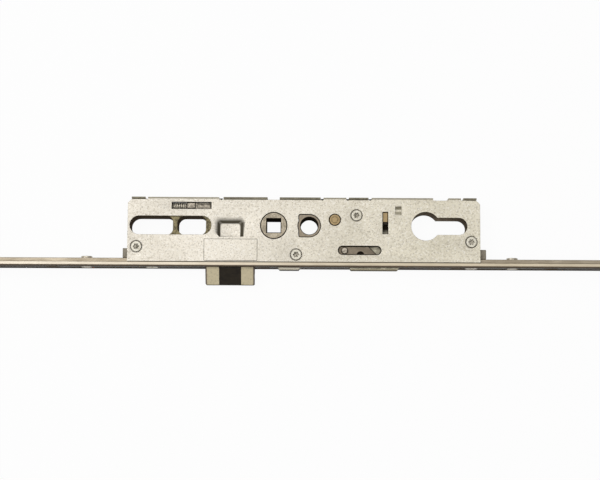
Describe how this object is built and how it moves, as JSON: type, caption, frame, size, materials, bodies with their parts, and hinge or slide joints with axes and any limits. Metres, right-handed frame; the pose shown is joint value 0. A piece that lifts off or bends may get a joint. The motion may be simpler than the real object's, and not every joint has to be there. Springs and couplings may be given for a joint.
{
  "type": "multipoint door lock",
  "caption": "Centre case of a multipoint door lock: sprung latch, deadbolt, handle follower and cylinder hole in a pressed case on a long faceplate whose drive rail carries roller cams.",
  "frame": {"origin": "on the axis of the follower's square spindle hole, half way through the 16 mm case; the lock lies on its back at z = -0.008", "axes": "+X runs along the faceplate, down the door; +Y runs from the faceplate into the door's stile; +Z runs through the leaf, towards the screwed cover"},
  "size_m": [0.485, 0.0534, 0.0163],
  "materials": {
    "zinc_sheet": "dull zinc-plated pressed steel sheet, cream-grey",
    "strip_steel": "zinc-plated strip steel with a warm passivated tint",
    "dark_steel": "brown-grey passivated steel",
    "cast_zinc": "unpolished zinc casting, olive-grey",
    "spring_steel": "bright drawn steel",
    "brass": "turned brass, slightly dull",
    "black_plastic": "black moulded nylon"
  },
  "bodies": {
    "frame": {"faceplate": "strip_steel", "case_tray": "zinc_sheet", "case_cover": "zinc_sheet", "cover_screws": "spring_steel", "screw_pillars": "dark_steel", "slot_block": "cast_zinc", "end_block": "cast_zinc", "faceplate_screws": "spring_steel", "guide_rivets": "dark_steel", "handle_bush": "dark_steel", "lever_pin": "brass", "latch_guide": "black_plastic", "spring_bridge": "cast_zinc", "latch_springs": "spring_steel", "return_spring": "spring_steel", "lever_spring": "spring_steel"},
    "follower": {"follower": "dark_steel"},
    "rail": {"drive_rail": "strip_steel", "drive_block": "cast_zinc", "drive_rivets": "dark_steel", "stop_plate": "dark_steel", "stop_pin": "dark_steel", "cam_stud_upper": "dark_steel", "cam_stud_lower": "dark_steel"},
    "return_bar": {"return_bar": "strip_steel"},
    "latch": {"latch_bolt": "strip_steel", "latch_insert": "black_plastic", "latch_tail": "dark_steel", "latch_pin": "dark_steel"},
    "crank": {"latch_crank": "dark_steel"},
    "deadbolt": {"deadbolt": "strip_steel", "deadbolt_tail": "dark_steel", "deadbolt_rivets": "dark_steel"},
    "lever": {"cam_lever": "spring_steel", "lever_nib": "brass"},
    "snib": {"latch_snib": "strip_steel"},
    "roller_upper": {"cam_roller_upper": "spring_steel"},
    "roller_lower": {"cam_roller_lower": "spring_steel"}
  },
  "joints": [
    {"name": "follower_turn", "type": "hinge", "parent": "frame", "child": "follower", "pos_m": [0, 0, 0], "axis": [0, 0, 1], "range_deg": [0, 50]},
    {"name": "rail_slide", "type": "slide", "parent": "frame", "child": "rail", "axis": [1, 0, 0], "range_m": [0, 0.01437]},
    {"name": "return_slide", "type": "slide", "parent": "frame", "child": "return_bar", "axis": [-1, 0, 0], "range_m": [0, 0.00902], "stiffness_N_per_m": 3000, "deforming": ["return_spring"]},
    {"name": "latch_slide", "type": "slide", "parent": "frame", "child": "latch", "axis": [0, 1, 0], "range_m": [0, 0.011], "stiffness_N_per_m": 1200, "deforming": ["latch_springs"]},
    {"name": "crank_turn", "type": "hinge", "parent": "frame", "child": "crank", "pos_m": [0, 0, 0], "axis": [0, 0, 1], "range_deg": [-23.56, 0]},
    {"name": "deadbolt_slide", "type": "slide", "parent": "frame", "child": "deadbolt", "axis": [0, -1, 0], "range_m": [0, 0.02]},
    {"name": "lever_turn", "type": "hinge", "parent": "frame", "child": "lever", "pos_m": [0.037, 0.0037, 0], "axis": [0, 0, 1], "range_deg": [-13.5, 0], "deforming": ["lever_spring"]},
    {"name": "snib_slide", "type": "slide", "parent": "frame", "child": "snib", "axis": [-1, 0, 0], "range_m": [0, 0.004]},
    {"name": "roller_upper_spin", "type": "hinge", "parent": "rail", "child": "roller_upper", "pos_m": [-0.19, -0.03, 0], "axis": [0, 1, 0], "continuous": true},
    {"name": "roller_lower_spin", "type": "hinge", "parent": "rail", "child": "roller_lower", "pos_m": [0.225, -0.03, 0], "axis": [0, 1, 0], "continuous": true}
  ],
  "couplings": [
    {"joint": "follower_turn", "follows": "rail_slide", "rad_per_m": 60.732},
    {"joint": "return_slide", "follows": "rail_slide", "ratio": 0.6264},
    {"joint": "crank_turn", "follows": "latch_slide", "rad_per_m": -37.345}
  ]
}
